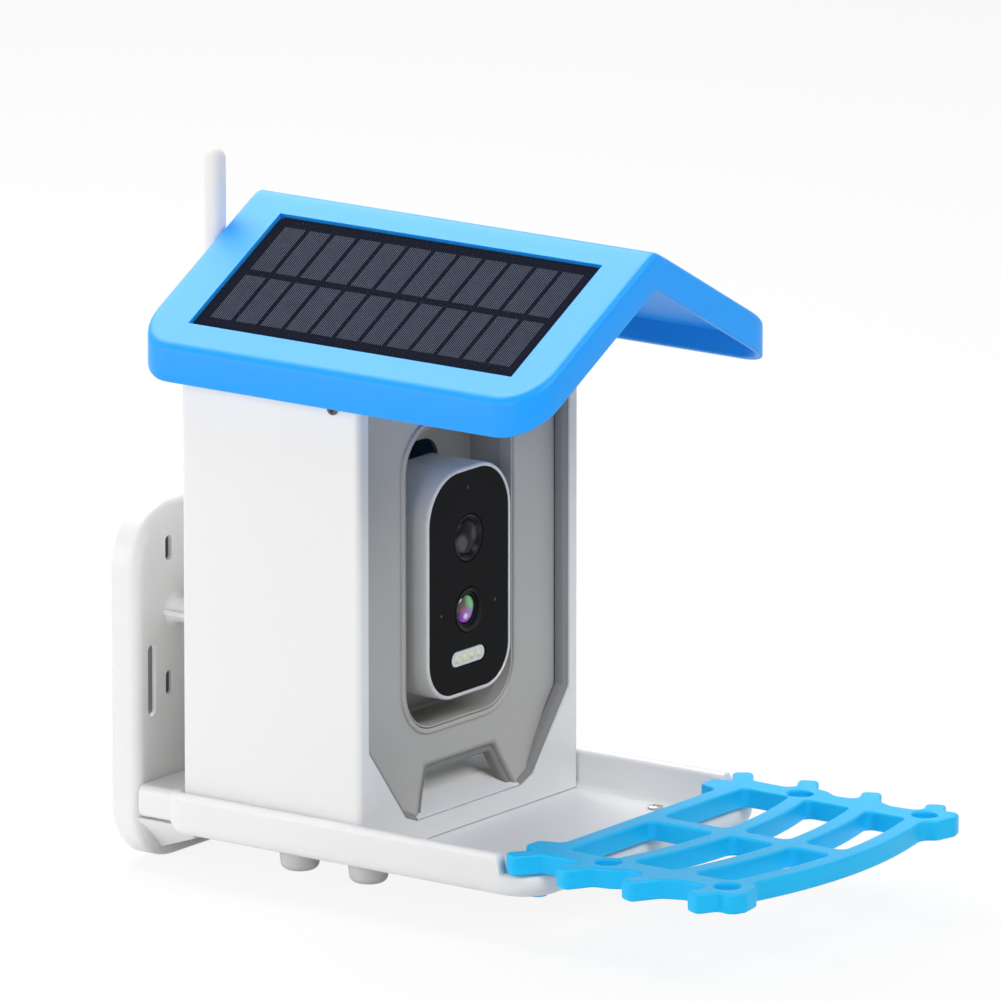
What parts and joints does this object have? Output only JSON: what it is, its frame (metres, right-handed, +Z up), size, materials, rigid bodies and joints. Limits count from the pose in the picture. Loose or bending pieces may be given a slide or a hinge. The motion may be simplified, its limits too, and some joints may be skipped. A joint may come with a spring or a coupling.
{
  "type": "smart bird feeder",
  "caption": "Wall-hung seed house with a hinged solar roof, a slide-out camera in its front, a dish tray and a lattice perch.",
  "frame": {"origin": "on the wall plate's back face, against the wall or post, midway between its strap slots", "axes": "-Y out of the wall towards the perch, +Z up, +X to the right of someone who faces the front"},
  "size_m": [0.1674, 0.3042, 0.28],
  "materials": {
    "white_plastic": "satin moulded ABS",
    "shade_plastic": "satin moulded ABS",
    "blue_plastic": "satin to gloss moulded ABS",
    "solar_navy": "laminated cells, near black",
    "clear_cover": "clear smooth sheet",
    "black_gloss": "polished acrylic",
    "black_matte": "fine matte",
    "lens_coating": "coated glass",
    "lamp_diffuser": "milky translucent",
    "screw_steel": "plated",
    "circuit_green": "solder mask",
    "cell_wrap": "shrink film",
    "foot_rubber": "soft moulded"
  },
  "bodies": {
    "house": {"wall_plate": "white_plastic", "plate_screw_left": "screw_steel", "plate_screw_right": "screw_steel", "house_shell": "white_plastic", "front_panel": "shade_plastic", "seed_ramp": "white_plastic", "camera_pocket": "shade_plastic", "seed_tray": "white_plastic", "tray_screw_left": "screw_steel", "tray_screw_right": "screw_steel", "foot_front_left": "foot_rubber", "foot_front_right": "foot_rubber", "foot_rear_left": "foot_rubber", "foot_rear_right": "foot_rubber", "pivot_screw_left": "screw_steel", "pivot_screw_right": "screw_steel", "antenna_socket": "white_plastic"},
    "roof": {"roof_shell": "blue_plastic", "roof_ear_left": "blue_plastic", "roof_ear_right": "blue_plastic", "solar_board": "solar_navy", "solar_cover": "clear_cover", "solar_junction_box": "black_matte"},
    "camera": {"camera_case": "white_plastic", "camera_bezel": "white_plastic", "camera_window": "black_gloss", "motion_dome": "black_matte", "motion_sensor": "screw_steel", "lens_barrel": "black_matte", "lens_glass": "lens_coating", "lamp_cover": "lamp_diffuser", "lamp_board": "circuit_green", "main_board": "circuit_green", "battery_pack": "cell_wrap", "speaker": "black_matte"},
    "button": {"power_button": "shade_plastic"},
    "cover": {"port_cover": "foot_rubber"},
    "aerial_knuckle": {"antenna_knuckle": "white_plastic", "antenna_pin": "screw_steel"},
    "aerial": {"antenna_blade": "white_plastic"},
    "perch_lattice": {"perch": "blue_plastic"}
  },
  "joints": [
    {"name": "roof_hinge", "type": "hinge", "parent": "house", "child": "roof", "pos_m": [0, -0.1093, 0.1244], "axis": [1, 0, 0], "range_deg": [0, 75]},
    {"name": "camera_slide", "type": "slide", "parent": "house", "child": "camera", "axis": [0, -1, 0], "range_m": [0, 0.03]},
    {"name": "power_button", "type": "slide", "parent": "camera", "child": "button", "axis": [0, 0, 1], "range_m": [0, 0.0008], "stiffness_N_per_m": 400},
    {"name": "port_cover", "type": "hinge", "parent": "camera", "child": "cover", "pos_m": [-0.0002, -0.10615, -0.0024], "axis": [0, -1, 0], "range_deg": [0, 75]},
    {"name": "antenna_swivel", "type": "hinge", "parent": "house", "child": "aerial_knuckle", "pos_m": [-0.0185, -0.0192, 0.0965], "axis": [0, 1, 0], "range_deg": [-90, 90]},
    {"name": "antenna_tilt", "type": "hinge", "parent": "aerial_knuckle", "child": "aerial", "pos_m": [-0.0185, -0.01185, 0.0965], "axis": [-1, 0, 0], "range_deg": [0, 80]},
    {"name": "perch_lift", "type": "slide", "parent": "house", "child": "perch_lattice", "axis": [0, 0, 1], "range_m": [0, 0.012]}
  ]
}
